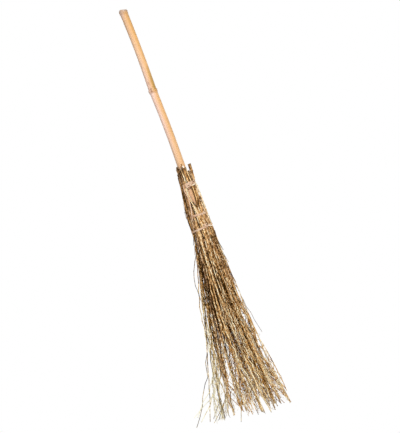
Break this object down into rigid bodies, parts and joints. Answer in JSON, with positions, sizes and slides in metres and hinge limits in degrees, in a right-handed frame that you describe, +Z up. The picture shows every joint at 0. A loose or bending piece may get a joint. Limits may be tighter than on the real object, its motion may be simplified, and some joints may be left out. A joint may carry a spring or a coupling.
{
  "type": "besom broom",
  "caption": "Besom broom: a bamboo pole set into a flared, one-sided bundle of forked twigs, held round it by split bamboo ties; sweeps yards, paths and leaves.",
  "frame": {"origin": "on the pole's axis, half-way along the bare wall between its two upper nodes, where a hand holds it", "axes": "+Z up along the pole to its top cut, twigs down; +X to the side where the bundle is thin"},
  "size_m": [0.2726, 0.1344, 1.2778],
  "materials": {
    "bamboo_pole": "smooth golden bamboo",
    "twigs": "dry brown twigs",
    "split_bamboo": "matt split bamboo"
  },
  "bodies": {
    "root": {"handle_pole": "bamboo_pole", "inner_twig_01": "twigs", "inner_twig_02": "twigs", "inner_twig_03": "twigs", "inner_twig_04": "twigs", "inner_twig_05": "twigs", "inner_twig_06": "twigs", "inner_twig_07": "twigs", "inner_twig_08": "twigs", "inner_twig_09": "twigs", "inner_twig_10": "twigs", "inner_twig_11": "twigs", "inner_twig_12": "twigs", "lower_tie": "split_bamboo", "middle_tie": "split_bamboo", "middle_twig_01": "twigs", "middle_twig_02": "twigs", "middle_twig_03": "twigs", "middle_twig_04": "twigs", "middle_twig_05": "twigs", "middle_twig_06": "twigs", "middle_twig_07": "twigs", "middle_twig_08": "twigs", "middle_twig_09": "twigs", "middle_twig_10": "twigs", "middle_twig_11": "twigs", "middle_twig_12": "twigs", "middle_twig_13": "twigs", "middle_twig_14": "twigs", "middle_twig_15": "twigs", "middle_twig_16": "twigs", "middle_twig_17": "twigs", "middle_twig_18": "twigs", "outer_twig_01": "twigs", "outer_twig_02": "twigs", "outer_twig_03": "twigs", "outer_twig_04": "twigs", "outer_twig_05": "twigs", "outer_twig_06": "twigs", "outer_twig_07": "twigs", "outer_twig_08": "twigs", "outer_twig_09": "twigs", "outer_twig_10": "twigs", "outer_twig_11": "twigs", "outer_twig_12": "twigs", "outer_twig_13": "twigs", "outer_twig_14": "twigs", "outer_twig_15": "twigs", "outer_twig_16": "twigs", "outer_twig_17": "twigs", "outer_twig_18": "twigs", "outer_twig_19": "twigs", "outer_twig_20": "twigs", "outer_twig_21": "twigs", "outer_twig_22": "twigs", "outer_twig_23": "twigs", "upper_tie": "split_bamboo"}
  },
  "joints": []
}
